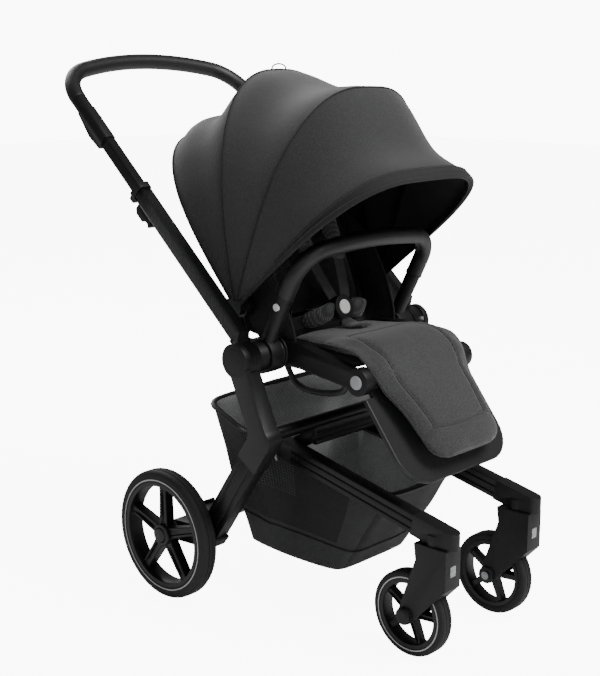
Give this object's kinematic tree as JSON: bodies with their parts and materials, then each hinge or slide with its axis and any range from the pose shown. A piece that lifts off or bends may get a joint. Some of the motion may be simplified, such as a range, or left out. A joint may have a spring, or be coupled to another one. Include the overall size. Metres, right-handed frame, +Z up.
{
  "type": "baby stroller",
  "caption": "Folding four-wheel baby stroller with reclining padded seat, arched canopy, bumper bar, telescopic handle and hanging basket.",
  "frame": {"origin": "on the floor under the middle of the stroller's outer box", "axes": "+Z up, -Y towards the front wheels, +X to the seated child's left"},
  "size_m": [0.565, 0.9753, 1.0492],
  "materials": {
    "black_casting": "satin black powder coat",
    "dark_aluminium": "black anodised, brushed",
    "black_plastic": "fine moulded texture",
    "wheel_plastic": "satin moulded",
    "tyre_rubber": "foam-filled rubber",
    "steel_pin": "turned",
    "leatherette": "fine grained leatherette",
    "grey_button": "light grey moulded",
    "white_button": "white moulded",
    "canopy_fabric": "charcoal melange weave",
    "seat_fabric": "padded charcoal melange",
    "webbing": "woven strap",
    "basket_fabric": "coated fabric and mesh"
  },
  "bodies": {
    "chassis": {"upper_legs": "black_casting", "lower_legs": "dark_aluminium", "axle_housings": "black_plastic", "rear_axle": "steel_pin", "hub_pins": "steel_pin", "crossbar": "dark_aluminium", "crossbar_beam": "dark_aluminium", "basket": "basket_fabric"},
    "brake": {"brake_pedal": "black_plastic"},
    "push_frame": {"push_tube_left": "dark_aluminium", "push_tube_right": "dark_aluminium", "tube_collars": "black_plastic"},
    "fold_trigger_left": {"fold_trigger_left": "black_plastic"},
    "fold_trigger_right": {"fold_trigger_right": "black_plastic"},
    "handle": {"handle_tubes": "dark_aluminium", "handle_grip": "leatherette", "handle_sleeves": "black_plastic"},
    "handle_button_left": {"handle_button_left": "grey_button"},
    "handle_button_right": {"handle_button_right": "grey_button"},
    "front_frame": {"rail_left": "dark_aluminium", "rail_right": "dark_aluminium", "rail_caps": "black_plastic"},
    "caster_left": {"fork_left": "black_plastic", "front_axle_left": "steel_pin"},
    "caster_right": {"fork_right": "black_plastic", "front_axle_right": "steel_pin"},
    "front_wheel_left": {"front_rim_left": "wheel_plastic", "front_tyre_left": "tyre_rubber"},
    "front_wheel_right": {"front_rim_right": "wheel_plastic", "front_tyre_right": "tyre_rubber"},
    "rear_wheel_left": {"rear_rim_left": "wheel_plastic", "rear_tyre_left": "tyre_rubber"},
    "rear_wheel_right": {"rear_rim_right": "wheel_plastic", "rear_tyre_right": "tyre_rubber"},
    "seat": {"seat_adapters": "black_plastic", "seat_frame": "black_plastic", "seat_hoop": "black_plastic", "seat_shell": "black_plastic", "seat_pad": "seat_fabric", "back_frame": "black_plastic", "back_brackets": "black_plastic", "back_pad": "seat_fabric", "harness": "webbing", "buckle": "black_plastic", "canopy_mounts": "black_plastic", "canopy_frame": "black_plastic", "canopy_rear": "canopy_fabric", "canopy_mid_fabric": "canopy_fabric"},
    "buckle_button": {"buckle_button": "white_button"},
    "legrest": {"legrest_board": "black_plastic", "legrest_pad": "seat_fabric"},
    "legrest_button_left": {"legrest_button_left": "grey_button"},
    "legrest_button_right": {"legrest_button_right": "grey_button"},
    "bumper": {"bumper_arms": "black_plastic", "bumper_grip": "leatherette"},
    "bumper_button_left": {"bumper_button_left": "white_button"},
    "bumper_button_right": {"bumper_button_right": "white_button"},
    "canopy_middle_bow": {"canopy_mid": "black_plastic", "canopy_front_fabric": "canopy_fabric"},
    "canopy_front_bow": {"canopy_front": "black_plastic"}
  },
  "joints": [
    {"name": "push_fold", "type": "hinge", "parent": "chassis", "child": "push_frame", "pos_m": [0, -0.0817, 0.509], "axis": [1, 0, 0], "range_deg": [0, 118]},
    {"name": "front_fold", "type": "hinge", "parent": "chassis", "child": "front_frame", "pos_m": [0, -0.0777, 0.315], "axis": [1, 0, 0], "range_deg": [0, 70.8]},
    {"name": "handle_extend", "type": "slide", "parent": "push_frame", "child": "handle", "axis": [0, 0.7455, 0.6665], "range_m": [-0.105, 0.04]},
    {"name": "handle_button_left_press", "type": "slide", "parent": "handle", "child": "handle_button_left", "axis": [1, 0, 0], "range_m": [0, 0.003], "stiffness_N_per_m": 300},
    {"name": "handle_button_right_press", "type": "slide", "parent": "handle", "child": "handle_button_right", "axis": [-1, 0, 0], "range_m": [0, 0.003], "stiffness_N_per_m": 300},
    {"name": "fold_trigger_left_pull", "type": "slide", "parent": "push_frame", "child": "fold_trigger_left", "axis": [0, 0.7455, 0.6665], "range_m": [0, 0.012], "stiffness_N_per_m": 300},
    {"name": "fold_trigger_right_pull", "type": "slide", "parent": "push_frame", "child": "fold_trigger_right", "axis": [0, 0.7455, 0.6665], "range_m": [0, 0.012], "stiffness_N_per_m": 300},
    {"name": "caster_swivel_left", "type": "hinge", "parent": "front_frame", "child": "caster_left", "pos_m": [0.124, -0.4417, 0.2], "axis": [0, 0, 1], "continuous": true},
    {"name": "caster_swivel_right", "type": "hinge", "parent": "front_frame", "child": "caster_right", "pos_m": [-0.124, -0.4417, 0.2], "axis": [0, 0, 1], "continuous": true},
    {"name": "front_wheel_spin_left", "type": "hinge", "parent": "caster_left", "child": "front_wheel_left", "pos_m": [0.124, -0.3917, 0.0793], "axis": [1, 0, 0], "continuous": true},
    {"name": "front_wheel_spin_right", "type": "hinge", "parent": "caster_right", "child": "front_wheel_right", "pos_m": [-0.124, -0.3917, 0.0793], "axis": [1, 0, 0], "continuous": true},
    {"name": "rear_wheel_spin_left", "type": "hinge", "parent": "chassis", "child": "rear_wheel_left", "pos_m": [0.262, 0.1153, 0.1288], "axis": [1, 0, 0], "continuous": true},
    {"name": "rear_wheel_spin_right", "type": "hinge", "parent": "chassis", "child": "rear_wheel_right", "pos_m": [-0.262, 0.1153, 0.1288], "axis": [1, 0, 0], "continuous": true},
    {"name": "brake_press", "type": "hinge", "parent": "chassis", "child": "brake", "pos_m": [0, 0.1153, 0.1288], "axis": [1, 0, 0], "range_deg": [-18, 0]},
    {"name": "seat_recline", "type": "hinge", "parent": "chassis", "child": "seat", "pos_m": [0, -0.0817, 0.509], "axis": [1, 0, 0], "range_deg": [-35, 0]},
    {"name": "legrest_tilt", "type": "hinge", "parent": "seat", "child": "legrest", "pos_m": [0, -0.2797, 0.485], "axis": [1, 0, 0], "range_deg": [-52, 0]},
    {"name": "legrest_button_left_press", "type": "slide", "parent": "seat", "child": "legrest_button_left", "axis": [-1, 0, 0], "range_m": [0, 0.003], "stiffness_N_per_m": 300},
    {"name": "legrest_button_right_press", "type": "slide", "parent": "seat", "child": "legrest_button_right", "axis": [1, 0, 0], "range_m": [0, 0.003], "stiffness_N_per_m": 300},
    {"name": "bumper_swing", "type": "hinge", "parent": "seat", "child": "bumper", "pos_m": [0, -0.0817, 0.509], "axis": [1, 0, 0], "range_deg": [0, 40]},
    {"name": "bumper_button_left_press", "type": "slide", "parent": "bumper", "child": "bumper_button_left", "axis": [-1, 0, 0], "range_m": [0, 0.0025], "stiffness_N_per_m": 300},
    {"name": "bumper_button_right_press", "type": "slide", "parent": "bumper", "child": "bumper_button_right", "axis": [1, 0, 0], "range_m": [0, 0.0025], "stiffness_N_per_m": 300},
    {"name": "buckle_button_press", "type": "slide", "parent": "seat", "child": "buckle_button", "axis": [0, 0.9511, -0.309], "range_m": [0, 0.002], "stiffness_N_per_m": 300},
    {"name": "canopy_fold", "type": "hinge", "parent": "seat", "child": "canopy_middle_bow", "pos_m": [0, -0.0217, 0.59], "axis": [1, 0, 0], "range_deg": [-23, 0], "deforming": ["canopy_mid_fabric"]},
    {"name": "canopy_front_fold", "type": "hinge", "parent": "canopy_middle_bow", "child": "canopy_front_bow", "pos_m": [0, -0.0217, 0.59], "axis": [1, 0, 0], "range_deg": [-23, 0], "deforming": ["canopy_front_fabric"]}
  ],
  "couplings": [
    {"joint": "front_fold", "follows": "push_fold", "ratio": 0.6},
    {"joint": "canopy_front_fold", "follows": "canopy_fold", "ratio": 1}
  ]
}
